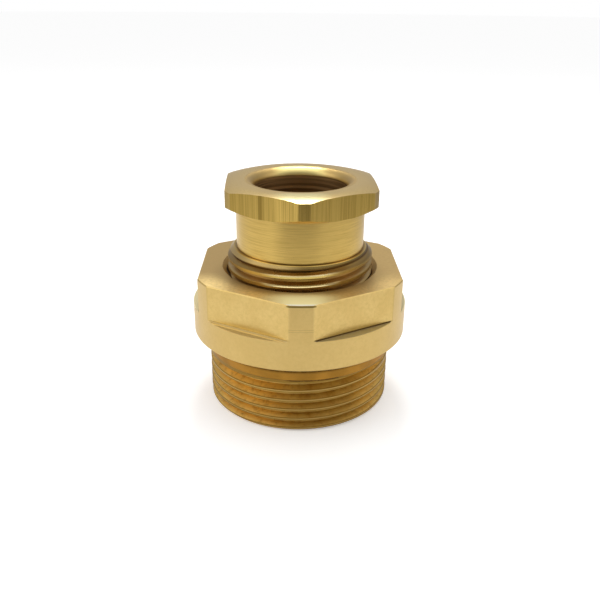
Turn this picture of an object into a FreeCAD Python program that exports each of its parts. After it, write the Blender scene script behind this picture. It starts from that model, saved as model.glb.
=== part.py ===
import FreeCAD, Part

import os

import Sketcher

# Brass packing gland: a gland body with a hexagon above a round collar and a male
# entry thread below it, a gland nut that screws down inside it, and a rubber
# packing ring squeezed between two brass washers.
#
# Frame: the origin is the centre of the entry thread's end face, +Z points up
# along the common axis to the gland nut, and a corner of the body's hexagon
# faces -Y. Both threads are right-handed 55 degree pipe threads.

DIMENSIONS = {
    # both threads: 11 turns per inch
    "thread_pitch": 2.309,
    "thread_flat": 0.385,
    "flank_angle": 27.5,
    "cutter_overlap": 0.30,
    "edge_break": 0.20,
    # gland body: male entry thread, from the end face up
    "entry_root_radius": 19.476,
    "entry_crest_radius": 20.825,
    "entry_end_chamfer": 0.60,
    "entry_crest_height": 9.98,
    "runout_azimuth": -50.0,
    "runout_height": 0.30,
    "runout_slope": 80.0,
    "land_bottom": 12.55,
    "land_radius": 21.05,
    # gland body: collar and hexagon
    "collar_bottom": 16.64,
    "collar_radius": 24.25,
    "ledge_height": 23.35,
    "ledge_fillet": 0.25,
    "body_height": 31.30,
    "body_flats": 44.15,
    # gland body: inside
    "seat_height": 4.00,
    "exit_bore_radius": 11.00,
    "chamber_radius": 15.24,
    "relief_bottom": 14.00,
    "relief_top": 16.50,
    "relief_radius": 16.95,
    "inner_root_radius": 16.71,
    "mouth_radius": 17.45,
    # gland nut: thread and barrel
    "nut_end": 19.20,
    "nut_end_chamfer": 1.50,
    "nut_root_radius": 14.99,
    "nut_crest_radius": 16.15,
    "nut_crest_height": 34.10,
    "shoulder_height": 36.05,
    "shoulder_radius": 14.75,
    "barrel_radius": 14.15,
    "cable_bore_radius": 10.20,
    # gland nut: hexagon head
    "head_bottom": 45.60,
    "head_top": 50.80,
    "head_flats": 32.10,
    "head_corner_radius": 17.88,
    "head_azimuth": 1.75,
    "underside_radius": 16.20,
    "underside_slope": 30.0,
    "crown_radius": 15.40,
    "crown_slope": 16.0,
    "crown_fillet": 14.00,
    "bore_mouth_fillet": 1.85,
    # washers and packing
    "washer_thickness": 2.00,
    "washer_radius": 14.90,
    "washer_bore_radius": 10.60,
    "packing_radius": 14.85,
    "packing_bore_radius": 9.75,
    "packing_fillet": 0.60,
}


def make_sheet(doc):
    sheet = doc.addObject("Spreadsheet::Sheet", "Size")
    for row, (alias, value) in enumerate(DIMENSIONS.items(), start=1):
        sheet.set("A%d" % row, alias)
        sheet.set("B%d" % row, str(value))
        sheet.setAlias("B%d" % row, alias)
    doc.recompute()


def add_body(doc, label):
    body = doc.addObject("PartDesign::Body", label)
    body.Label = label
    return body


def add_sketch(body, name, role):
    """Add a sketch on one of the body's own origin planes."""
    plane = next(item for item in body.Origin.OriginFeatures if item.Role == role)
    sketch = body.newObject("Sketcher::SketchObject", name)
    sketch.AttachmentSupport = [(plane, "")]
    sketch.MapMode = "FlatFace"
    return sketch


def draw_outline(sketch, corners):
    """Draw a closed outline; each corner is a pair of expressions, across and up."""
    count = len(corners)
    rough = [FreeCAD.Vector(10 + n, 10 + n * n, 0) for n in range(count)]
    for n in range(count):
        sketch.addGeometry(Part.LineSegment(rough[n], rough[(n + 1) % count]), False)
    for n in range(count):
        sketch.addConstraint(Sketcher.Constraint("Coincident", n, 2, (n + 1) % count, 1))
    for n, (across, up) in enumerate(corners):
        for kind, size, text in (("DistanceX", rough[n].x, across), ("DistanceY", rough[n].y, up)):
            index = sketch.addConstraint(Sketcher.Constraint(kind, -1, 1, n, 1, size))
            sketch.setExpression("Constraints[%d]" % index, text)


def add_revolution(body, name, corners):
    """Turn an outline, given as pairs of radius and height, about the Z axis."""
    sketch = add_sketch(body, name + "Outline", "XZ_Plane")
    draw_outline(sketch, corners)
    turned = body.newObject("PartDesign::Revolution", name)
    turned.Profile = sketch
    turned.ReferenceAxis = (sketch, ["V_Axis"])
    turned.Angle = 360
    return turned


def add_thread_sketch(body, name, root, mouth, azimuth, height):
    """Draw the thread groove's section at an azimuth and height on the axis.

    The groove is narrow at its root radius and wide at its mouth radius.
    """
    sketch = add_sketch(body, name, "XZ_Plane")
    sketch.AttachmentOffset = FreeCAD.Placement(
        FreeCAD.Vector(0, 0, 0), FreeCAD.Rotation(FreeCAD.Vector(0, 1, 0), 1))
    sketch.setExpression("AttachmentOffset.Rotation.Angle", azimuth)
    sketch.setExpression("AttachmentOffset.Base.y", height)
    narrow = "Size.thread_flat / 2"
    wide = "%s + abs(%s - (%s)) * tan(Size.flank_angle * 1 deg)" % (narrow, root, mouth)
    draw_outline(sketch, [
        (root, "-(%s)" % narrow),
        (mouth, "-(%s)" % wide),
        (mouth, wide),
        (root, narrow),
    ])
    return sketch


def add_thread_cut(body, name, sketch, height, downwards=False, slope="0"):
    """Cut a right-handed helical groove; a slope makes it climb out of the metal."""
    cut = body.newObject("PartDesign::SubtractiveHelix", name)
    cut.Profile = sketch
    cut.ReferenceAxis = (sketch, ["V_Axis"])
    cut.Mode = "pitch-height-angle"
    cut.LeftHanded = False
    cut.Reversed = downwards
    cut.HasBeenEdited = True
    cut.setExpression("Pitch", "Size.thread_pitch")
    cut.setExpression("Height", height)
    cut.setExpression("Angle", slope)
    return cut


def add_hexagon(doc, body, name, flats, outer, bottom, top, azimuth):
    """Mill six flats around a turned blank, from a bottom height up to a top height."""
    sketch = add_sketch(body, name + "Flat", "XY_Plane")
    sketch.AttachmentOffset = FreeCAD.Placement(
        FreeCAD.Vector(0, 0, 0), FreeCAD.Rotation(FreeCAD.Vector(0, 0, 1), 1))
    sketch.setExpression("AttachmentOffset.Rotation.Angle", azimuth)
    sketch.setExpression("AttachmentOffset.Base.z", bottom)
    inner = "%s / 2" % flats
    beyond = "%s + 1" % outer
    draw_outline(sketch, [
        (inner, "-(%s)" % beyond),
        (beyond, "-(%s)" % beyond),
        (beyond, beyond),
        (inner, beyond),
    ])
    flat = body.newObject("PartDesign::Pocket", name + "FlatCut")
    flat.Profile = sketch
    flat.Reversed = True
    flat.setExpression("Length", "%s - (%s) + 1" % (top, bottom))
    doc.recompute()
    pattern = body.newObject("PartDesign::PolarPattern", name)
    pattern.Originals = [flat]
    pattern.Axis = (sketch, ["N_Axis"])
    pattern.Angle = 360
    pattern.Occurrences = 6
    body.Tip = pattern
    doc.recompute()
    return pattern


def straight_edges(feature, radius, height):
    """Name the level straight edges whose middles lie at a radius and a height."""
    names = []
    for number, edge in enumerate(feature.Shape.Edges, start=1):
        middle = edge.CenterOfMass
        is_line = edge.Curve.TypeId == "Part::GeomLine"
        is_level = edge.BoundBox.ZLength < 0.001
        is_here = abs((middle.x ** 2 + middle.y ** 2) ** 0.5 - radius) < 0.01
        if is_line and is_level and is_here and abs(middle.z - height) < 0.01:
            names.append("Edge%d" % number)
    return names


def round_edges(feature, radius, height):
    """Name the level circular edges about the Z axis with a radius and a height."""
    names = []
    for number, edge in enumerate(feature.Shape.Edges, start=1):
        if edge.Curve.TypeId != "Part::GeomCircle":
            continue
        if abs(edge.Curve.Radius - radius) < 0.01 and abs(edge.Curve.Center.z - height) < 0.01:
            names.append("Edge%d" % number)
    return names


def add_edge_feature(doc, body, kind, name, feature, edges, size_property, size):
    """Fillet or chamfer some edges of the last feature."""
    dressed = body.newObject(kind, name)
    dressed.Base = (feature, edges)
    dressed.setExpression(size_property, size)
    body.Tip = dressed
    doc.recompute()
    return dressed


def make_gland_body(doc):
    body = add_body(doc, "gland_body")
    add_revolution(body, "BodyTurned", [
        ("Size.exit_bore_radius + Size.edge_break", "0"),
        ("Size.entry_crest_radius - Size.entry_end_chamfer", "0"),
        ("Size.entry_crest_radius", "Size.entry_end_chamfer"),
        ("Size.entry_crest_radius", "Size.land_bottom"),
        ("Size.land_radius", "Size.land_bottom + Size.land_radius - Size.entry_crest_radius"),
        ("Size.land_radius", "Size.collar_bottom"),
        ("Size.collar_radius - Size.edge_break", "Size.collar_bottom"),
        ("Size.collar_radius", "Size.collar_bottom + Size.edge_break"),
        ("Size.collar_radius", "Size.body_height - Size.edge_break"),
        ("Size.collar_radius - Size.edge_break", "Size.body_height"),
        ("Size.mouth_radius", "Size.body_height"),
        ("Size.chamber_radius", "Size.body_height - Size.mouth_radius + Size.chamber_radius"),
        ("Size.chamber_radius", "Size.relief_top"),
        ("Size.relief_radius", "Size.relief_top"),
        ("Size.relief_radius", "Size.relief_bottom"),
        ("Size.chamber_radius", "Size.relief_bottom"),
        ("Size.chamber_radius", "Size.seat_height"),
        ("Size.exit_bore_radius", "Size.seat_height"),
        ("Size.exit_bore_radius", "Size.edge_break"),
    ])
    doc.recompute()

    hexagon = add_hexagon(doc, body, "BodyHexagon", "Size.body_flats", "Size.collar_radius",
                          "Size.ledge_height", "Size.body_height", "0")
    apothem = DIMENSIONS["body_flats"] / 2
    roots = straight_edges(hexagon, apothem, DIMENSIONS["ledge_height"])
    filleted = add_edge_feature(doc, body, "PartDesign::Fillet", "LedgeFillets", hexagon,
                                roots, "Radius", "Size.ledge_fillet")
    rims = straight_edges(filleted, apothem, DIMENSIONS["body_height"])
    add_edge_feature(doc, body, "PartDesign::Chamfer", "RimChamfers", filleted,
                     rims, "Size", "Size.edge_break")

    groove = "Size.entry_crest_height + Size.thread_pitch * (0.5 + (Size.runout_azimuth + 90) / 360)"
    entry = add_thread_sketch(body, "EntryGroove", "Size.entry_root_radius",
                              "Size.land_radius + Size.cutter_overlap / 3",
                              "Size.runout_azimuth", groove)
    add_thread_cut(body, "EntryThread", entry, groove + " + Size.thread_pitch", downwards=True)
    add_thread_cut(body, "EntryRunout", entry, "Size.runout_height", slope="Size.runout_slope")

    # The inner groove starts in the relief, at the azimuth where it meets the nut's crest.
    start = "((Size.relief_bottom + Size.relief_top) / 2)"
    turns = "((%s - Size.nut_crest_height) / Size.thread_pitch + 100)" % start
    inner = add_thread_sketch(body, "InnerGroove", "Size.inner_root_radius",
                              "Size.chamber_radius - Size.cutter_overlap",
                              "360 * mod(%s; 1) - 90" % turns, start)
    add_thread_cut(body, "InnerThread", inner, "Size.body_height - Size.relief_bottom")
    doc.recompute()
    return body


def make_gland_nut(doc):
    body = add_body(doc, "gland_nut")
    corner = "Size.head_corner_radius"
    underside = "Size.head_bottom + (%s - Size.underside_radius) * tan(Size.underside_slope * 1 deg)"
    crown = "Size.head_top - (%s - Size.crown_radius) * tan(Size.crown_slope * 1 deg)"
    turned = add_revolution(body, "NutTurned", [
        ("Size.cable_bore_radius + Size.edge_break", "Size.nut_end"),
        ("Size.nut_crest_radius - Size.nut_end_chamfer", "Size.nut_end"),
        ("Size.nut_crest_radius", "Size.nut_end + Size.nut_end_chamfer"),
        ("Size.nut_crest_radius", "Size.shoulder_height - Size.nut_crest_radius + Size.shoulder_radius"),
        ("Size.shoulder_radius", "Size.shoulder_height"),
        ("Size.barrel_radius", "Size.shoulder_height"),
        ("Size.barrel_radius", "Size.head_bottom"),
        ("Size.underside_radius", "Size.head_bottom"),
        (corner, underside % corner),
        (corner, crown % corner),
        ("Size.crown_radius", "Size.head_top"),
        ("Size.cable_bore_radius", "Size.head_top"),
        ("Size.cable_bore_radius", "Size.nut_end + Size.edge_break"),
    ])
    doc.recompute()
    top = DIMENSIONS["head_top"]
    crown_edges = round_edges(turned, DIMENSIONS["crown_radius"], top)
    crowned = add_edge_feature(doc, body, "PartDesign::Fillet", "CrownFillet", turned,
                               crown_edges, "Radius", "Size.crown_fillet")
    mouth_edges = round_edges(crowned, DIMENSIONS["cable_bore_radius"], top)
    add_edge_feature(doc, body, "PartDesign::Fillet", "BoreMouthFillet", crowned,
                     mouth_edges, "Radius", "Size.bore_mouth_fillet")
    add_hexagon(doc, body, "HeadHexagon", "Size.head_flats", corner,
                "(Size.head_bottom + Size.shoulder_height) / 2", "Size.head_top",
                "Size.head_azimuth")

    # The groove starts below the nut's end, on the +X side, half a turn from the crest.
    crest = "(Size.nut_crest_height + Size.thread_pitch * 3 / 4)"
    steps = "floor((Size.nut_end - %s) / Size.thread_pitch - 0.5)" % crest
    groove = add_thread_sketch(body, "NutGroove", "Size.nut_root_radius",
                               "Size.nut_crest_radius + Size.cutter_overlap",
                               "0", "%s + Size.thread_pitch * %s" % (crest, steps))
    add_thread_cut(body, "NutThread", groove,
                   "Size.shoulder_height - Size.nut_end + 3 * Size.thread_pitch")
    doc.recompute()
    return body


def make_washer(doc, label, bottom):
    body = add_body(doc, label)
    top = "%s + Size.washer_thickness" % bottom
    corner = "Size.edge_break"
    add_revolution(body, label.title().replace("_", ""), [
        ("Size.washer_bore_radius", bottom),
        ("Size.washer_radius - %s" % corner, bottom),
        ("Size.washer_radius", "%s + %s" % (bottom, corner)),
        ("Size.washer_radius", "%s - %s" % (top, corner)),
        ("Size.washer_radius - %s" % corner, top),
        ("Size.washer_bore_radius", top),
    ])
    doc.recompute()
    return body


def make_packing_ring(doc):
    body = add_body(doc, "packing_ring")
    bottom = "Size.seat_height + Size.washer_thickness"
    top = "Size.nut_end - Size.washer_thickness"
    ring = add_revolution(body, "PackingTurned", [
        ("Size.packing_bore_radius", bottom),
        ("Size.packing_radius", bottom),
        ("Size.packing_radius", top),
        ("Size.packing_bore_radius", top),
    ])
    doc.recompute()
    circles = ["Edge%d" % number for number, edge in enumerate(ring.Shape.Edges, start=1)
               if edge.Curve.TypeId == "Part::GeomCircle"]
    add_edge_feature(doc, body, "PartDesign::Fillet", "PackingFillets", ring,
                     circles, "Radius", "Size.packing_fillet")
    return body


def check_document(doc, bodies):
    doc.recompute()
    for item in doc.Objects:
        if "Invalid" in item.State or "Error" in item.State:
            raise RuntimeError("%s failed: %s" % (item.Name, item.State))
    for body in bodies:
        if body.Shape.isNull() or not body.Shape.isValid() or len(body.Shape.Solids) != 1:
            raise RuntimeError("%s isn't one valid solid" % body.Label)


def main():
    doc = FreeCAD.newDocument("packing_gland")
    make_sheet(doc)
    bodies = [
        make_gland_body(doc),
        make_gland_nut(doc),
        make_washer(doc, "upper_washer", "Size.nut_end - Size.washer_thickness"),
        make_packing_ring(doc),
        make_washer(doc, "lower_washer", "Size.seat_height"),
    ]
    check_document(doc, bodies)
    os.makedirs("parts", exist_ok=True)
    for body in bodies:
        body.Shape.exportStep("parts/%s.step" % body.Label)
        box = body.Shape.BoundBox
        print("%-14s volume %9.1f  z %.2f to %.2f" % (body.Label, body.Shape.Volume, box.ZMin, box.ZMax))


main()
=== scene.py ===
import math

import bmesh
import bpy
from mathutils import Matrix, Vector


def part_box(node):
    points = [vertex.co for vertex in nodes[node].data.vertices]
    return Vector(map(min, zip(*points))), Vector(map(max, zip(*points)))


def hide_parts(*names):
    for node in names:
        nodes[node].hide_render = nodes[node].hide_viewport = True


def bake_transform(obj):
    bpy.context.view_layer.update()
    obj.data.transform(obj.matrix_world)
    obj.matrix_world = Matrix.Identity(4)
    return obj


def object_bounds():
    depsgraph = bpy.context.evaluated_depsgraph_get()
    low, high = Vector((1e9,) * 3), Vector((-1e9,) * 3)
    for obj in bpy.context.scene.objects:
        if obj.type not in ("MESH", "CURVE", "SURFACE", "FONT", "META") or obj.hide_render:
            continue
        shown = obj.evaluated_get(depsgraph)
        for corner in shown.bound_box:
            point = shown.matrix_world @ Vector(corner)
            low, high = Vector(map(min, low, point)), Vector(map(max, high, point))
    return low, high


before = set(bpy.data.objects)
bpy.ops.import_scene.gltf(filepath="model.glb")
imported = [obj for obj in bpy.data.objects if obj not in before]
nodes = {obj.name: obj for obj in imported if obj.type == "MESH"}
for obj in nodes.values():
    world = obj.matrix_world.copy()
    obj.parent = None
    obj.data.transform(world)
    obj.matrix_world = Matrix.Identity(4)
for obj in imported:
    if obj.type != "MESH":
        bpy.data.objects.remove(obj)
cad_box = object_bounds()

# Brass packing gland: the body, the nut and the washers keep their CAD shapes and get
# procedural brass, and a rounded rubber ring stands for the packing. The body's and the
# nut's brass colours carry painted highlights and painted shade in fixed places on each part.
#
# Objects are in metres. Inside a material, places and sizes are in millimetres on the
# part, and shares and masks run from 0 to 1.

MM = 0.001

# Both threads
THREAD_PITCH = 2.309
# Gland body, from the entry thread up
ENTRY_CREST_HEIGHT = 9.98
ENTRY_CREST_RADIUS = 20.825
LAND_BOTTOM = 12.55
COLLAR_BOTTOM = 16.64
COLLAR_RADIUS = 24.25
LEDGE_HEIGHT = 23.35
BODY_TOP = 31.30
BODY_HALF_FLATS = 22.075
MOUTH_RADIUS = 17.45
WORN_HIGHLIGHT_CORNER_START = 16.8
# Gland nut, from its thread up
NUT_CREST_HEIGHT = 34.10
NUT_CREST_RADIUS = 16.15
NUT_ROOT_RADIUS = 14.99
SHOULDER_HEIGHT = 36.05
BARREL_RADIUS = 14.15
HEAD_BOTTOM = 45.60
HEAD_TOP = 50.80
HEAD_HALF_FLATS = 16.05
HEAD_TURN = 1.75
BORE_RADIUS = 10.20
# Packing ring
PACKING_BORE_RADIUS = 9.75
PACKING_LIP = 0.60

COLOURS = {
    # Gland body: hexagon, collar, top face and mouth
    "milled": (0.80, 0.575, 0.215),
    "milled_patch": (0.75, 0.525, 0.185),
    "milled_fleck": (0.68, 0.475, 0.155),
    "collar": (0.60, 0.42, 0.155),
    # Top face: painted shade, darker on the left side than on the right
    "top_shaded_left": (0.44, 0.305, 0.125),
    "top_lit_right": (0.53, 0.37, 0.150),
    # Top face: painted light towards its front outer edges
    "top_edge_lit_left": (0.98, 0.75, 0.33),
    "top_edge_lit_right": (0.80, 0.58, 0.24),
    "top_fleck": (0.40, 0.27, 0.10),
    # Mouth chamfer: a painted highlight in the middle, duller at the sides
    "mouth_lit_middle": (0.86, 0.64, 0.32),
    "mouth_side": (0.68, 0.49, 0.21),
    # Inside the body, below the mouth: painted shade
    "chamber_shade": (0.20, 0.10, 0.03),
    # Gland body: its front corner, rounded by wear, and its ledge, with painted highlights and painted
    # shade
    # Painted highlight on the top face near the front corner
    "corner_highlight": (1.0, 0.90, 0.48),
    # Front corner: a painted highlight on the rim and painted shade under the burred top edge
    "corner_rim_highlight": (1.0, 0.98, 0.82),
    "burr_shade": (0.24, 0.17, 0.05),
    "tool_line": (0.30, 0.20, 0.06),
    "ledge": (0.76, 0.68, 0.42),
    "ledge_outside": (0.56, 0.45, 0.25),
    # Flats' foot: painted shade in the corner, darker on the right
    "right_root_shade": (0.10, 0.06, 0.02),
    "left_root_shade": (0.34, 0.22, 0.08),
    "scraped": (1.0, 0.86, 0.50),
    # Gland body: entry thread and land
    "turn": (0.60, 0.41, 0.115),
    # Entry turns: painted light towards both sides
    "turn_lit_side": (0.84, 0.56, 0.165),
    "turn_stained": (0.52, 0.33, 0.080),
    "turn_stained_lit_side": (0.76, 0.49, 0.125),
    "turn_dirt": (0.36, 0.19, 0.035),
    # Entry crests: painted shade, with a painted highlight on their upper edge
    "crest": (0.34, 0.20, 0.042),
    "crest_highlight": (0.54, 0.37, 0.125),
    "crest_highlight_lit_side": (0.64, 0.44, 0.14),
    "land": (0.50, 0.25, 0.040),
    "land_stained": (0.38, 0.19, 0.030),
    # Land: painted shade just under the collar
    "land_shade_under_collar": (0.20, 0.105, 0.020),
    # Broken dark lines: dirt, and painted shade where the land meets the collar
    "dirt_and_shade_line": (0.09, 0.045, 0.010),
    # Gland nut: barrel and hexagon head
    "turned": (0.79, 0.55, 0.160),
    "turned_line": (0.66, 0.44, 0.120),
    "turned_band": (0.57, 0.38, 0.10),
    # Barrel: painted shade at the sides
    "barrel_side_shade": (0.50, 0.34, 0.10),
    "drawn": (0.60, 0.41, 0.105),
    # Head flats: painted light left of the front
    "drawn_lit_left": (0.82, 0.565, 0.150),
    "drawn_band": (0.47, 0.31, 0.075),
    "drawn_streak": (0.30, 0.19, 0.035),
    # Head flats: painted shade towards the far sides, and a dark band down one flat
    "drawn_side_shade": (0.34, 0.22, 0.055),
    "flat_dark_band": (0.28, 0.18, 0.035),
    "face": (0.82, 0.60, 0.25),
    "face_fleck": (0.70, 0.49, 0.17),
    # Head top: a painted highlight at the front
    "crown_highlight": (1.0, 0.87, 0.44),
    "lip": (0.56, 0.385, 0.14),
    # Bore mouth: a painted highlight at the back
    "lip_back_highlight": (0.97, 0.79, 0.31),
    "bore": (0.60, 0.38, 0.17),
    "bore_line": (0.22, 0.12, 0.04),
    # Gland nut: thread
    # Nut thread: painted light on the left, painted shade on the right and at the sides, a painted
    # highlight at the front
    "thread_lit_left": (0.57, 0.39, 0.11),
    "thread_shaded_right": (0.42, 0.285, 0.085),
    "thread_front_highlight": (1.0, 0.77, 0.25),
    "thread_side_shade": (0.34, 0.215, 0.065),
    # Painted shade on the flanks under the ridge
    "flank_shade": (0.24, 0.145, 0.045),
    "groove": (0.57, 0.40, 0.17),
    # Painted highlight on the crests' upper edges at the front
    "crest_edge_highlight": (1.0, 0.86, 0.48),
    # Ridge: a painted reflection, light on the left and dark on the right
    "ridge_lit_left": (0.54, 0.375, 0.140),
    "ridge_shaded_right": (0.22, 0.148, 0.045),
    # Painted shade in the last turn and at the barrel's foot
    "last_turn_shade": (0.16, 0.085, 0.02),
    "barrel_foot_shade": (0.38, 0.24, 0.08),
    # Lower crests: painted shade on the lower half, a painted highlight on the upper half
    "lower_crest_shade": (0.26, 0.16, 0.05),
    "lower_crest_highlight": (1.0, 0.83, 0.42),
    # Washers and packing
    "washer": (0.70, 0.47, 0.16),
    "washer_stain": (0.52, 0.32, 0.10),
    "rubber": (0.018, 0.017, 0.016),
    "rubber_dust": (0.05, 0.047, 0.042),
    # Staging
    "floor": (0.93, 0.93, 0.93),
    "room": (1.0, 1.0, 1.0),
    "dark_card": (0.06, 0.055, 0.05),
}

scene = bpy.context.scene


class Graph:
    """Short words for building a node tree.

    A value is a socket, a number, or the name of a colour.
    """

    def __init__(self, tree):
        self.tree = tree
        self.tree.nodes.clear()

    def plug(self, socket, value):
        if isinstance(value, bpy.types.NodeSocket):
            self.tree.links.new(value, socket)
        elif isinstance(value, str):
            socket.default_value = (*COLOURS[value], 1.0)
        else:
            socket.default_value = value

    def node(self, kind, inputs=None, **settings):
        """Make a node; inputs maps a socket's name or number to its value."""
        made = self.tree.nodes.new(kind)
        for name, value in settings.items():
            setattr(made, name, value)
        for socket, value in (inputs or {}).items():
            self.plug(made.inputs[socket], value)
        return made

    def math(self, operation, first, second=0.0):
        return self.node("ShaderNodeMath", {0: first, 1: second}, operation=operation).outputs[0]

    def product(self, *factors):
        """Multiply: masks hold where all of them do, and a number weakens them."""
        result = factors[0]
        for factor in factors[1:]:
            result = self.math("MULTIPLY", result, factor)
        return result

    def largest(self, *values):
        """The largest value: masks hold where any of them does."""
        result = values[0]
        for value in values[1:]:
            result = self.math("MAXIMUM", result, value)
        return result

    def distance(self, across, along):
        """How far off a point is, from two offsets at right angles."""
        squares = self.math("ADD", self.math("POWER", across, 2), self.math("POWER", along, 2))
        return self.math("SQRT", squares)

    def step(self, value, low, high):
        """0 at low and 1 at high, smooth between and level beyond; low may be the larger."""
        inputs = {"Value": value, "From Min": low, "From Max": high}
        made = self.node("ShaderNodeMapRange", inputs, interpolation_type="SMOOTHSTEP")
        return made.outputs["Result"]

    def band(self, value, low, high, soft):
        """1 between low and high, 0 outside, with soft ends."""
        return self.product(self.step(value, low - soft, low), self.step(value, high + soft, high))

    def mix(self, share, first, second, kind="RGBA"):
        """Mix two colours: the first where share is 0, the second where it is 1."""
        inputs = {"Factor": share, "A": first, "B": second}
        return self.node("ShaderNodeMix", inputs, data_type=kind).outputs["Result"]

    def blend(self, share, first, second):
        """Mix two numbers."""
        return self.mix(share, first, second, kind="FLOAT")

    def split(self, vector):
        return self.node("ShaderNodeSeparateXYZ", {0: vector}).outputs

    def vector(self, across, along, up):
        return self.node("ShaderNodeCombineXYZ", {0: across, 1: along, 2: up}).outputs[0]

    def noise(self, vector, scale, detail=2.0, roughness=0.5):
        inputs = {"Vector": vector, "Scale": scale, "Detail": detail, "Roughness": roughness}
        return self.node("ShaderNodeTexNoise", inputs).outputs["Fac"]

    def bump(self, height, depth, normal=None):
        """Relief: the surface stands out by height times depth, in metres."""
        inputs = {"Strength": 1.0, "Distance": depth, "Height": height}
        if normal is not None:
            inputs["Normal"] = normal
        return self.node("ShaderNodeBump", inputs).outputs["Normal"]

    def finish(self, shader, kind="ShaderNodeOutputMaterial"):
        self.node(kind, {"Surface": shader.outputs[0]})


class Place:
    """Where a shaded point is on its node, and how it faces.

    Aside is how far it is to the left or right of the axis, seen from the front. Thread
    is its height with the helix's rise taken off, which stays the same along a crest and
    has its seam at the back. Up is 1 on a face that looks up, and level is 1 on any
    level face.
    """

    def __init__(self, graph):
        coordinates = graph.node("ShaderNodeTexCoord").outputs
        inputs = {0: coordinates["Object"], "Scale": 1 / MM}
        self.point = graph.node("ShaderNodeVectorMath", inputs, operation="SCALE").outputs[0]
        self.x, self.y, self.z = graph.split(self.point)
        self.aside = graph.math("ABSOLUTE", self.x)
        self.radius = graph.distance(self.x, self.y)
        turn = graph.math("ARCTAN2", self.x, graph.product(self.y, -1))
        self.thread = graph.math("SUBTRACT", self.z, graph.product(turn, THREAD_PITCH / (2 * math.pi)))
        self.up = graph.split(coordinates["Normal"])[2]
        self.level = graph.math("ABSOLUTE", self.up)


class NutThread:
    """Where a point is on the nut's thread: its height above the top crest, and masks."""

    def __init__(self, graph, place):
        self.whole = graph.step(place.z, SHOULDER_HEIGHT - 0.05, SHOULDER_HEIGHT - 0.15)
        self.height = graph.math("SUBTRACT", place.thread, NUT_CREST_HEIGHT)
        self.phase = turn_phase(graph, place, NUT_CREST_HEIGHT)
        self.crest = graph.step(place.radius, NUT_CREST_RADIUS - 0.20, NUT_CREST_RADIUS - 0.07)
        self.front = graph.step(place.y, 0.0, -5.0)
        # The front middle: where the thread gets its painted highlights and a smoother finish.
        self.shiny = graph.product(graph.step(place.aside, 9.0, 3.0), self.front)
        below = graph.step(self.height, -0.9, -1.1)
        self.lower_crests = graph.product(self.whole, self.shiny, below, self.crest)


def new_material(name):
    material = bpy.data.materials.new(name)
    material.use_nodes = True
    return material, Graph(material.node_tree)


def finish_surface(graph, colour, roughness, normal, metallic=1.0):
    inputs = {"Base Color": colour, "Metallic": metallic, "Roughness": roughness, "Normal": normal}
    graph.finish(graph.node("ShaderNodeBsdfPrincipled", inputs))


def turned_lines(graph, place, pitch, wander=0.02):
    """Fine lathe lines: rings along a cylinder, circles on a face. More wander breaks them up."""
    along = graph.blend(graph.step(place.level, 0.5, 0.8), place.z, place.radius)
    vector = graph.vector(graph.product(place.x, wander), graph.product(place.y, wander),
                          graph.product(along, 1 / pitch))
    return graph.noise(vector, 1.0, detail=3.0, roughness=0.6)


def drawn_streaks(graph, place, pitch):
    """Upright streaks, as on hexagon bar pulled through a die."""
    stretch = 0.03
    vector = graph.vector(graph.product(place.x, 1 / pitch), graph.product(place.y, 1 / pitch),
                          graph.product(place.z, stretch))
    return graph.noise(vector, 1.0, detail=3.0, roughness=0.65)


def turn_phase(graph, place, crest_height):
    """Millimetres above the middle of the nearest thread crest."""
    above = graph.math("SUBTRACT", place.thread, crest_height - THREAD_PITCH / 2)
    part = graph.math("FRACT", graph.math("DIVIDE", above, THREAD_PITCH))
    return graph.product(graph.math("SUBTRACT", part, 0.5), THREAD_PITCH)


def reach(graph, place, degrees):
    """How far a point lies from the axis towards a direction, counted from +X."""
    angle = math.radians(degrees)
    return graph.math("ADD", graph.product(place.x, math.cos(angle)),
                      graph.product(place.y, math.sin(angle)))


def entry_turns_colour(graph, place, stain, dirt):
    """Turns painted lighter towards both sides, crests in painted shade, and a narrow painted highlight
    along each crest's upper edge.
    """
    # Painted light: the turns get lighter towards both sides, more on the left.
    side_light = graph.largest(graph.step(place.x, 1.0, -9.0),
                          graph.product(graph.step(place.x, 9.0, 17.0), 0.7))
    colour = graph.mix(stain, graph.mix(side_light, "turn", "turn_lit_side"),
                       graph.mix(side_light, "turn_stained", "turn_stained_lit_side"))
    colour = graph.mix(graph.product(graph.step(dirt, 0.48, 0.66), 0.45), colour, "turn_dirt")
    # Painted shade on the crests.
    crest = graph.step(place.radius, ENTRY_CREST_RADIUS - 0.225, ENTRY_CREST_RADIUS - 0.025)
    colour = graph.mix(crest, colour, "crest")
    phase = turn_phase(graph, place, ENTRY_CREST_HEIGHT)
    below_runout = graph.step(place.thread, 11.4, 11.0)
    # Painted highlight along each crest's upper edge, below the runout.
    crest_glint_mask = graph.product(crest, graph.band(phase, -0.03, 0.11, 0.07), below_runout, 0.9)
    return graph.mix(crest_glint_mask, colour, graph.mix(side_light, "crest_highlight", "crest_highlight_lit_side"))


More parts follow.
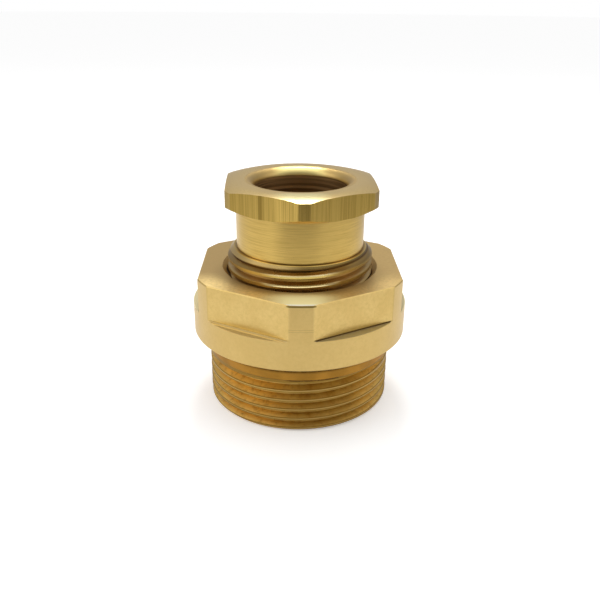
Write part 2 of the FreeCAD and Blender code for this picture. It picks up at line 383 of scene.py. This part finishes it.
def entry_thread_colour(graph, place, stain):
    """The tarnished entry end: turns below a plain land, with broken dark lines on its edges at the
    front: dirt, and painted shade where the land meets the collar.
    """
    dirt = graph.noise(place.point, 0.75, detail=5.0, roughness=0.65)
    turns = entry_turns_colour(graph, place, stain, dirt)
    land = graph.mix(stain, "land", "land_stained")
    # Painted shade on the land just under the collar.
    land = graph.mix(graph.step(place.z, 14.1, 14.9), land, "land_shade_under_collar")
    colour = graph.mix(graph.step(place.z, LAND_BOTTOM + 0.05, LAND_BOTTOM + 0.20), turns, land)
    # Broken dark lines at the front: dirt along the land's edges, and painted shade under the collar.
    below = graph.product(graph.band(place.z, LAND_BOTTOM - 0.10, LAND_BOTTOM + 0.20, 0.12),
                          graph.band(place.x, -2.0, 8.0, 1.5), graph.step(dirt, 0.38, 0.50))
    above = graph.product(graph.band(place.z, 14.75, COLLAR_BOTTOM + 0.06, 0.15),
                          graph.band(place.x, -8.0, 16.0, 2.0), graph.step(dirt, 0.42, 0.54))
    lines = graph.product(graph.largest(below, above), graph.step(place.y, 0.0, -6.0), 0.85)
    return graph.mix(lines, colour, "dirt_and_shade_line")


def milled_colour(graph, place, patches, fine):
    """Mottled milled brass, a little deeper on what is left of the round collar."""
    colour = graph.mix(graph.step(patches, 0.35, 0.7), "milled", "milled_patch")
    colour = graph.mix(graph.product(graph.step(fine, 0.35, 0.75), 0.75), colour, "milled_fleck")
    collar = graph.step(place.radius, COLLAR_RADIUS - 0.15, COLLAR_RADIUS - 0.05)
    return graph.mix(graph.product(collar, 0.45), colour, "collar")


def top_face_colour(graph, place, fine, corner_highlight_mask):
    """The face round the mouth: dull, with painted light along its front edges and a painted highlight at
    the near corner.
    """
    # Painted light: the front of the face gets lighter towards its outer edges.
    outer = graph.product(graph.step(place.radius, 17.0, 21.5), graph.step(place.y, -5.0, -14.0))
    # Painted shade: the top face darker on the left than on the right.
    base = graph.mix(graph.step(place.x, 4.0, -12.0), "top_lit_right", "top_shaded_left")
    edge = graph.mix(graph.step(place.x, -2.0, 6.0), "top_edge_lit_left", "top_edge_lit_right")
    colour = graph.mix(outer, base, edge)
    colour = graph.mix(graph.product(graph.step(fine, 0.4, 0.7), 0.3), colour, "top_fleck")
    return graph.mix(corner_highlight_mask, colour, "corner_highlight")


def mark_corner(graph, place, colour, is_top):
    """The round corner between the front flats: a painted highlight along the top face's front rim,
    painted shade under its burred top edge, and two tool lines.
    """
    # Painted highlight along the top face's front rim.
    rim = graph.product(is_top, graph.step(place.y, -23.2, -23.5))
    colour = graph.mix(rim, colour, "corner_rim_highlight")
    front = graph.step(place.y, -21.0, -23.0)
    # Painted shade under the burred top edge of the round corner.
    burr_shade_mask = graph.product(graph.step(place.radius, COLLAR_RADIUS - 0.35, COLLAR_RADIUS - 0.25), front,
                         graph.band(place.z, BODY_TOP - 0.35, BODY_TOP - 0.05, 0.08))
    colour = graph.mix(burr_shade_mask, colour, "burr_shade")
    round_part = graph.step(place.radius, COLLAR_RADIUS - 0.15, COLLAR_RADIUS - 0.05)
    lines = graph.math("ADD", graph.band(place.z, 25.55, 25.60, 0.06),
                       graph.band(place.z, 26.00, 26.05, 0.06))
    return graph.mix(graph.product(round_part, front, lines, 0.35), colour, "tool_line")


def mark_ledge(graph, place, colour, is_ledge):
    """The flats' foot: painted shade along its root, darker on the right, and a scraped line on the ledge
    beside the left flat.
    """
    left = graph.step(place.x, 0.0, -1.0)
    right = graph.step(place.x, 0.0, 1.0)
    # Painted shade in the corner where the flats meet the ledge, darker on the right than on the left.
    foot = graph.product(graph.band(place.z, LEDGE_HEIGHT + 0.03, LEDGE_HEIGHT + 0.27, 0.05),
                         graph.step(place.radius, COLLAR_RADIUS - 0.05, COLLAR_RADIUS - 0.25),
                         graph.step(place.radius, 20.0, 21.9))
    colour = graph.mix(graph.product(foot, right), colour, "right_root_shade")
    colour = graph.mix(graph.product(foot, left, 0.5), colour, "left_root_shade")
    beyond = graph.math("SUBTRACT", reach(graph, place, -120), BODY_HALF_FLATS)
    scraped = graph.product(is_ledge, left, graph.band(beyond, 0.375, 0.775, 0.15))
    colour = graph.mix(scraped, colour, "scraped")
    outside = graph.product(is_ledge, left, graph.step(beyond, 0.875, 1.125), 0.7)
    return graph.mix(outside, colour, "ledge_outside")


def body_brass():
    material, graph = new_material("body_brass")
    place = Place(graph)
    grain = graph.noise(place.point, 6.0, detail=4.0, roughness=0.65)
    fine = graph.noise(place.point, 1.4, detail=4.0, roughness=0.7)
    patches = graph.noise(place.point, 0.25, detail=3.0)
    faces_up = graph.step(place.up, 0.8, 0.95)
    is_top = graph.product(graph.step(place.z, BODY_TOP - 0.10, BODY_TOP - 0.02), faces_up)
    is_ledge = graph.product(graph.band(place.z, LEDGE_HEIGHT - 0.15, LEDGE_HEIGHT + 0.15, 0.1), faces_up)
    mouth = graph.product(graph.step(place.radius, MOUTH_RADIUS + 0.05, MOUTH_RADIUS - 0.05),
                          graph.step(place.radius, 16.4, 16.6),
                          graph.step(place.z, BODY_TOP - 1.3, BODY_TOP - 1.0))
    inside = graph.step(place.radius, 16.6, 16.4)
    above_entry = graph.step(place.z, COLLAR_BOTTOM - 0.14, COLLAR_BOTTOM + 0.06)
    central = graph.step(place.aside, 11.0, 2.0)
    # Painted highlight on the top face near the front corner; it also sets the roughness there.
    corner_highlight_mask = graph.product(graph.step(place.y, -WORN_HIGHLIGHT_CORNER_START, -20.5), central)

    colour = milled_colour(graph, place, patches, fine)
    colour = graph.mix(is_top, colour, top_face_colour(graph, place, fine, corner_highlight_mask))
    colour = graph.mix(is_ledge, colour, "ledge")
    # Painted highlight on the middle of the mouth's chamfer, duller at the sides.
    mouth_colour = graph.mix(graph.step(place.aside, 8.0, 13.0), "mouth_lit_middle", "mouth_side")
    colour = graph.mix(mouth, colour, mouth_colour)
    colour = mark_corner(graph, place, colour, is_top)
    colour = mark_ledge(graph, place, colour, is_ledge)
    entry = entry_thread_colour(graph, place, graph.step(patches, 0.3, 0.7))
    colour = graph.mix(above_entry, entry, colour)
    # Painted shade inside the body, below the mouth.
    colour = graph.mix(inside, colour, "chamber_shade")

    satin = graph.largest(is_top, is_ledge, mouth)
    roughness = graph.blend(satin, graph.blend(grain, 0.26, 0.42), graph.blend(corner_highlight_mask, 0.50, 0.55))
    roughness = graph.blend(above_entry, graph.blend(grain, 0.38, 0.55), roughness)
    normal = graph.bump(grain, 0.012 * MM)
    normal = graph.bump(turned_lines(graph, place, 0.25), 0.004 * MM, normal)

    # The top face curves down towards its front corner, rounded by wear.
    past_start = graph.largest(graph.math("SUBTRACT", -WORN_HIGHLIGHT_CORNER_START, place.y), 0.0)
    fall = graph.product(graph.distance(past_start, 1.0), central, is_top)
    normal = graph.bump(fall, -0.29 * MM, normal)
    # The corner is made partly non-metallic so that it stays bright: part of its painted highlight.
    metallic = graph.math("SUBTRACT", 1.0, graph.product(corner_highlight_mask, is_top, 0.35))
    finish_surface(graph, colour, roughness, normal, metallic=metallic)
    return material


def barrel_colour(graph, place, rings, wide_rings):
    """Turned brass with fine lines and wider bands, and painted shade at the sides."""
    colour = graph.mix(graph.step(rings, 0.35, 0.7), "turned", "turned_line")
    colour = graph.mix(graph.product(graph.step(wide_rings, 0.5, 0.7), 0.3), colour, "turned_band")
    # Painted shade: the barrel darker towards its sides.
    sides = graph.product(graph.step(place.aside, 10.5, 13.5), 0.35)
    return graph.mix(sides, colour, "barrel_side_shade")


def drawn_colour(graph, place, streaks):
    """The nut's drawn flats: streaked, with painted light left of the front, painted shade towards the
    far sides, and one dark band down a flat.
    """
    # Painted light on the flats left of the front.
    lighter = graph.product(graph.step(place.x, 1.0, -2.0), graph.step(place.x, -12.5, -6.0))
    colour = graph.mix(lighter, "drawn", "drawn_lit_left")
    wide_streaks = drawn_streaks(graph, place, 1.3)
    colour = graph.mix(graph.product(graph.step(wide_streaks, 0.35, 0.65), 0.4), colour, "drawn_band")
    colour = graph.mix(graph.product(graph.step(streaks, 0.42, 0.66), 0.5), colour, "drawn_streak")
    # Painted shade on the flats towards the far sides.
    ends = graph.product(graph.step(place.aside, 14.8, 15.8), 0.55)
    colour = graph.mix(ends, colour, "drawn_side_shade")
    # A dark band down one flat at the front.
    along_flat = reach(graph, place, HEAD_TURN - 30)
    flat_dark_band = graph.largest(graph.band(along_flat, -1.15, -0.45, 0.12),
                         graph.product(graph.band(along_flat, -0.2, 1.1, 0.4), 0.4))
    flat_dark_band = graph.product(flat_dark_band, graph.step(place.y, -10.0, -12.0), 0.8)
    return graph.mix(flat_dark_band, colour, "flat_dark_band")


def mark_head_top(graph, place, colour, grain):
    """The head's top face, with a painted highlight at the front of its rounded top."""
    faces_up = graph.step(place.up, 0.75, 0.9)
    face = graph.mix(graph.step(grain, 0.4, 0.65), "face", "face_fleck")
    is_face = graph.product(faces_up, graph.step(place.z, HEAD_TOP - 2.8, HEAD_TOP - 2.3))
    colour = graph.mix(is_face, colour, face)
    # Painted highlight on the front of the head's top.
    crown_highlight = graph.product(faces_up, graph.step(place.y, -11.5, -13.5), graph.step(place.aside, 7.0, 2.0))
    return graph.mix(crown_highlight, colour, "crown_highlight")


def mark_nut_thread(graph, place, colour, thread):
    """The nut's thread: painted highlights at the front, painted shade at the sides, on the flanks under
    the ridge, in the last turn and at the barrel's foot, and a painted reflection across the ridge above
    its last turn.
    """
    # Painted light on the left and painted shade on the right, with a painted highlight at the front.
    metal = graph.mix(graph.step(place.x, 2.0, 8.0), "thread_lit_left", "thread_shaded_right")
    metal = graph.mix(thread.shiny, metal, "thread_front_highlight")
    colour = graph.mix(graph.product(thread.whole, graph.step(thread.height, 0.8, 0.5)), colour, metal)
    # Painted shade on the flanks under the ridge.
    flank_shade = graph.product(thread.whole, graph.band(thread.height, 0.35, 0.80, 0.15), 0.8)
    colour = graph.mix(flank_shade, colour, "flank_shade")
    groove = graph.product(thread.whole, graph.step(thread.height, -0.35, -0.45),
                           graph.step(place.radius, NUT_CREST_RADIUS - 0.02, NUT_CREST_RADIUS - 0.25))
    colour = graph.mix(groove, colour, "groove")
    # Painted highlight on the crests' upper edges at the front.
    crest_glint_mask = graph.product(thread.whole, graph.band(thread.phase, 0.10, 0.40, 0.06), thread.crest,
                         thread.shiny)
    colour = graph.mix(crest_glint_mask, colour, "crest_edge_highlight")
    # Painted shade towards the sides.
    beside = graph.product(thread.whole, graph.step(place.aside, 12.0, 15.5), 0.45)
    colour = graph.mix(beside, colour, "thread_side_shade")
    # A painted reflection across the ridge: light on the left, dark on the right.
    ridge = graph.product(thread.whole, graph.step(thread.height, 1.05, 1.20))
    ridge_colour = graph.mix(graph.step(place.x, -4.8, 1.6), "ridge_lit_left", "ridge_shaded_right")
    colour = graph.mix(ridge, colour, ridge_colour)
    # Painted shade in the last turn.
    last_turn_shade = graph.product(thread.whole, graph.band(thread.height, 0.75, 1.20, 0.06),
                              graph.step(place.radius, NUT_ROOT_RADIUS + 0.36, NUT_ROOT_RADIUS + 0.11))
    colour = graph.mix(last_turn_shade, colour, "last_turn_shade")
    # Painted shade at the barrel's foot.
    foot = graph.product(graph.band(place.z, SHOULDER_HEIGHT - 0.07, SHOULDER_HEIGHT + 0.10, 0.06),
                         graph.step(place.radius, BARREL_RADIUS + 0.45, BARREL_RADIUS + 0.15))
    colour = graph.mix(foot, colour, "barrel_foot_shade")
    # Painted shade on the lower half of the lower crests, a painted highlight on their upper half.
    lower_half = graph.product(thread.lower_crests, graph.step(thread.phase, 0.02, -0.06))
    colour = graph.mix(lower_half, colour, "lower_crest_shade")
    upper_half = graph.product(thread.lower_crests, graph.step(thread.phase, 0.02, 0.10))
    return graph.mix(upper_half, colour, "lower_crest_highlight")


def nut_brass():
    material, graph = new_material("nut_brass")
    place = Place(graph)
    thread = NutThread(graph, place)
    grain = graph.noise(place.point, 5.0, detail=4.0, roughness=0.65)
    rings = turned_lines(graph, place, 0.20, wander=0.15)
    wide_rings = turned_lines(graph, place, 0.9)
    streaks = drawn_streaks(graph, place, 0.24)
    on_head = graph.product(graph.step(place.radius, HEAD_HALF_FLATS - 0.35, HEAD_HALF_FLATS - 0.15),
                            graph.step(place.z, HEAD_BOTTOM - 1.1, HEAD_BOTTOM - 0.6))
    on_flats = graph.product(on_head, graph.step(place.level, 0.3, 0.15))
    lip = graph.product(graph.step(place.radius, BORE_RADIUS + 2.2, BORE_RADIUS + 1.7),
                        graph.step(place.z, HEAD_TOP - 1.9, HEAD_TOP - 1.5))
    inside = graph.product(graph.step(place.radius, BORE_RADIUS + 0.40, BORE_RADIUS + 0.05),
                           graph.step(place.z, HEAD_TOP - 1.5, HEAD_TOP - 1.9))

    colour = graph.mix(on_flats, barrel_colour(graph, place, rings, wide_rings),
                       drawn_colour(graph, place, streaks))
    colour = mark_head_top(graph, place, colour, grain)
    colour = mark_nut_thread(graph, place, colour, thread)
    # Painted highlight on the back of the bore's mouth.
    back = graph.product(graph.step(place.y, 2.0, 6.0), graph.step(place.aside, 7.0, 3.5))
    colour = graph.mix(lip, colour, graph.mix(back, "lip", "lip_back_highlight"))
    bore = graph.mix(graph.step(wide_rings, 0.35, 0.65), "bore", "bore_line")
    colour = graph.mix(inside, colour, bore)

    roughness = graph.blend(grain, 0.22, 0.38)
    roughness = graph.blend(inside, roughness, 0.50)
    roughness = graph.blend(lip, roughness, 0.40)
    roughness = graph.blend(thread.whole, roughness, graph.blend(thread.shiny, 0.36, 0.22))
    normal = graph.bump(graph.blend(on_flats, rings, streaks), 0.012 * MM)
    normal = graph.bump(grain, 0.006 * MM, normal)

    # The lower crests are rounded over their upper half.
    rounding = graph.math("MINIMUM", graph.largest(thread.phase, 0.05), 0.29)
    normal = graph.bump(graph.product(rounding, thread.lower_crests), -1.1 * MM, normal)
    # The top crest's front middle is made partly non-metallic so that it stays bright: a painted
    # highlight.
    crest_brightened = graph.product(thread.whole, graph.step(place.aside, 7.0, 1.5), thread.front,
                            graph.band(thread.height, -0.25, 0.15, 0.12), thread.crest, 0.55)
    metallic = graph.math("SUBTRACT", 1.0, crest_brightened)
    finish_surface(graph, colour, roughness, normal, metallic=metallic)
    return material


def washer_brass():
    material, graph = new_material("washer_brass")
    place = Place(graph)
    grain = graph.noise(place.point, 3.0, detail=4.0)
    colour = graph.mix(graph.step(grain, 0.3, 0.7), "washer", "washer_stain")
    normal = graph.bump(turned_lines(graph, place, 0.4), 0.008 * MM)
    finish_surface(graph, colour, graph.blend(grain, 0.25, 0.42), normal)
    return material


def packing_rubber():
    material, graph = new_material("packing_rubber")
    place = Place(graph)
    grain = graph.noise(place.point, 9.0, detail=5.0, roughness=0.7)
    dust = graph.noise(place.point, 0.7, detail=3.0)
    colour = graph.mix(graph.step(dust, 0.45, 0.75), "rubber", "rubber_dust")
    normal = graph.bump(grain, 0.03 * MM)
    finish_surface(graph, colour, graph.blend(grain, 0.55, 0.8), normal, metallic=0.0)
    return material


def dress(node, material):
    """Give a CAD node its material."""
    mesh = nodes[node].data
    mesh.materials.clear()
    mesh.materials.append(material)


def add_mesh(name, shape, material):
    """Turn a bmesh into an object of the scene."""
    mesh = bpy.data.meshes.new(name)
    shape.to_mesh(mesh)
    shape.free()
    mesh.materials.append(material)
    made = bpy.data.objects.new(name, mesh)
    scene.collection.objects.link(made)
    return made


def packing_section(bottom, outer, top):
    """The ring's section with rounded lips, as pairs of radius and height."""
    inner = PACKING_BORE_RADIUS * MM
    lip = PACKING_LIP * MM
    steps = 6
    centres = ((inner + lip, bottom + lip), (outer - lip, bottom + lip),
               (outer - lip, top - lip), (inner + lip, top - lip))
    section = []
    for corner, (radius, height) in enumerate(centres):
        for step in range(steps + 1):
            turn = math.radians(180 + 90 * (corner + step / steps))
            section.append((radius + lip * math.cos(turn), height + lip * math.sin(turn)))
    return section


def make_packing(material):
    """A moulded ring with rounded lips."""
    low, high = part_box("packing_ring")
    section = packing_section(low[2], high[0], high[2])
    shape = bmesh.new()
    steps = 160
    rings = []
    for step in range(steps):
        angle = 2 * math.pi * step / steps
        rings.append([shape.verts.new((radius * math.cos(angle), radius * math.sin(angle), height))
                      for radius, height in section])
    count = len(section)
    for here, there in zip(rings, rings[1:] + rings[:1]):
        for index in range(count):
            following = (index + 1) % count
            face = shape.faces.new((here[index], there[index], there[following], here[following]))
            face.smooth = True
    bmesh.ops.recalc_face_normals(shape, faces=shape.faces)
    piece = add_mesh("packing_rubber_ring", shape, material)
    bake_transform(piece)
    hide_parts("packing_ring")


def make_floor():
    """A plain pale floor, lifted a little towards white for the camera only."""
    radius = 4.0
    lift = 0.30
    gap = 0.05 * MM
    material, graph = new_material("floor")
    plain = graph.node("ShaderNodeBsdfDiffuse", {"Color": "floor"})
    seen = graph.node("ShaderNodeLightPath").outputs["Is Camera Ray"]
    glow = graph.node("ShaderNodeEmission", {"Strength": graph.product(seen, lift)})
    graph.finish(graph.node("ShaderNodeAddShader", {0: plain.outputs[0], 1: glow.outputs[0]}))
    shape = bmesh.new()
    bmesh.ops.create_circle(shape, cap_ends=True, segments=96, radius=radius)
    floor = add_mesh("floor", shape, material)
    floor.location.z = cad_box[0][2] - gap


def make_world():
    """An even white room for the camera and the floor, and a shaped one for the brass to mirror."""
    background_strength = 1.0
    light_strength = 0.72
    mirrored_strength = 0.44
    world = bpy.data.worlds.new("studio")
    world.use_nodes = True
    scene.world = world
    graph = Graph(world.node_tree)
    x, y, z = graph.split(graph.node("ShaderNodeTexCoord").outputs["Generated"])
    left = graph.product(graph.step(x, 0.1, -0.9), 0.06)
    top = graph.product(graph.step(z, 0.45, 0.9), 0.45)
    front = graph.product(graph.step(y, -0.3, -0.9), -0.25)
    shaping = graph.math("ADD", left, graph.math("ADD", top, front))
    mirrored = graph.math("ADD", mirrored_strength, shaping)
    rays = graph.node("ShaderNodeLightPath").outputs
    strength = graph.blend(rays["Is Glossy Ray"], light_strength, mirrored)
    strength = graph.blend(rays["Is Camera Ray"], strength, background_strength)
    background = graph.node("ShaderNodeBackground", {"Color": "room", "Strength": strength})
    graph.finish(background, kind="ShaderNodeOutputWorld")


def make_front_card():
    """A dark card that only the brass mirrors: it stands in for the unlit side of the room."""
    half_side = 1.5
    above_ground = 0.4 * MM
    material, graph = new_material("front_card")
    x, y, _ = graph.split(graph.node("ShaderNodeTexCoord").outputs["Object"])
    away = graph.distance(x, y)
    across = graph.math("DIVIDE", x, away)
    along = graph.math("DIVIDE", y, away)
    front = graph.product(graph.step(along, -0.55, -0.98), 0.92)
    right = graph.product(graph.step(across, 0.10, 0.70), 0.56)
    left = graph.product(graph.step(across, -0.60, -0.95), 0.42)
    share = graph.product(graph.step(away, 0.07, 0.21), graph.largest(front, right, left))
    clear = graph.node("ShaderNodeBsdfTransparent")
    dark = graph.node("ShaderNodeEmission", {"Color": "dark_card"})
    inputs = {0: share, 1: clear.outputs[0], 2: dark.outputs[0]}
    graph.finish(graph.node("ShaderNodeMixShader", inputs))
    shape = bmesh.new()
    bmesh.ops.create_grid(shape, x_segments=1, y_segments=1, size=half_side)
    card = add_mesh("front_card", shape, material)
    card.location.z = cad_box[0][2] + above_ground
    card.visible_camera = False
    card.visible_diffuse = False
    card.visible_shadow = False


def softbox(name, place, target, width, height, power):
    """A rectangular lamp that faces its target and that the camera doesn't see."""
    light = bpy.data.lights.new(name, "AREA")
    light.shape = "RECTANGLE"
    light.size = width
    light.size_y = height
    light.energy = power
    box = bpy.data.objects.new(name, light)
    box.location = place
    box.rotation_mode = "QUATERNION"
    box.rotation_quaternion = (Vector(target) - Vector(place)).to_track_quat("-Z", "Y")
    box.visible_camera = False
    scene.collection.objects.link(box)


def make_camera():
    """A pinhole view from the front, a little above, with a slight turn and roll."""
    away = 149.32 * MM
    height = 86.96 * MM
    down = 0.4096
    turn = 0.0169
    roll = 0.0100
    spin = Matrix.Rotation(-turn, 3, "Z")
    ahead = spin @ Vector((0, math.cos(down), -math.sin(down)))
    level_right = spin @ Vector((1, 0, 0))
    level_up = level_right.cross(ahead)
    right = math.cos(roll) * level_right + math.sin(roll) * level_up
    up = math.cos(roll) * level_up - math.sin(roll) * level_right
    place = Matrix((right, up, -ahead)).transposed().to_4x4()
    place.translation = spin @ Vector((0, -away, height))
    data = bpy.data.cameras.new("camera")
    data.sensor_width = 36
    data.lens = 42.03
    data.shift_x = 0.001
    data.clip_start = 0.005
    data.clip_end = 20
    camera = bpy.data.objects.new("camera", data)
    camera.matrix_world = place
    scene.collection.objects.link(camera)
    scene.camera = camera


scene.view_settings.view_transform = "Standard"
make_camera()
make_world()
make_floor()
make_front_card()
softbox("overhead", place=(0, 0.06, 0.50), target=(0, 0, 0.03), width=0.36, height=0.30, power=0.35)
softbox("behind", place=(0, 0.24, 0.42), target=(0, 0, 0.05), width=0.11, height=0.09, power=0.50)
softbox("left", place=(-0.50, -0.10, 0.30), target=(0, 0, 0.03), width=0.35, height=0.40, power=0.5)
softbox("right", place=(0.50, -0.10, 0.30), target=(0, 0, 0.03), width=0.35, height=0.40, power=0.3)

dress("gland_body", body_brass())
dress("gland_nut", nut_brass())
washers = washer_brass()
dress("upper_washer", washers)
dress("lower_washer", washers)
make_packing(packing_rubber())
